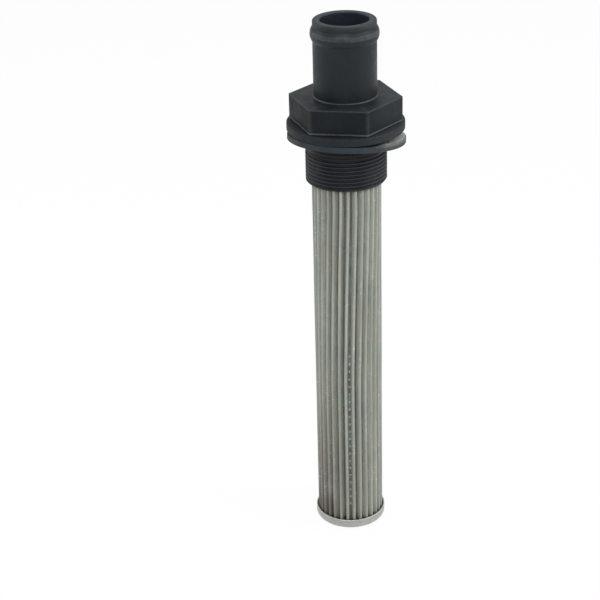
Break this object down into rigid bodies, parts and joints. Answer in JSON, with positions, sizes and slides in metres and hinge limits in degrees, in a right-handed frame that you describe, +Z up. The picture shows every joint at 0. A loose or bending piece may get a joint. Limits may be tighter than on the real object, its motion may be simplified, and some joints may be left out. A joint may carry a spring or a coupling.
{
  "type": "hydraulic filter element",
  "caption": "Tank suction strainer: moulded fitting with hose tail, hexagon, flange and male thread, over a long pleated wire screen closed by a pressed cap.",
  "frame": {"origin": "on the axis, at the underside of the flange, which seals on the tank", "axes": "+Z up along the axis to the mouth of the hose tail, the screen hangs towards -Z, and a flat of the hexagon faces -Y"},
  "size_m": [0.0693, 0.0689, 0.3279],
  "materials": {
    "black_moulding": "satin moulded",
    "grey_rubber": "matt",
    "wire_cloth": "woven stainless wire",
    "core_steel": "plain sheet",
    "dark_adhesive": "set resin",
    "cap_steel": "pressed, lightly plated"
  },
  "bodies": {
    "root": {"fitting_body": "black_moulding", "sealing_washer": "grey_rubber", "pleated_mesh": "wire_cloth", "core_tube": "core_steel", "upper_potting": "dark_adhesive", "lower_potting": "dark_adhesive", "end_cap": "cap_steel"}
  },
  "joints": []
}
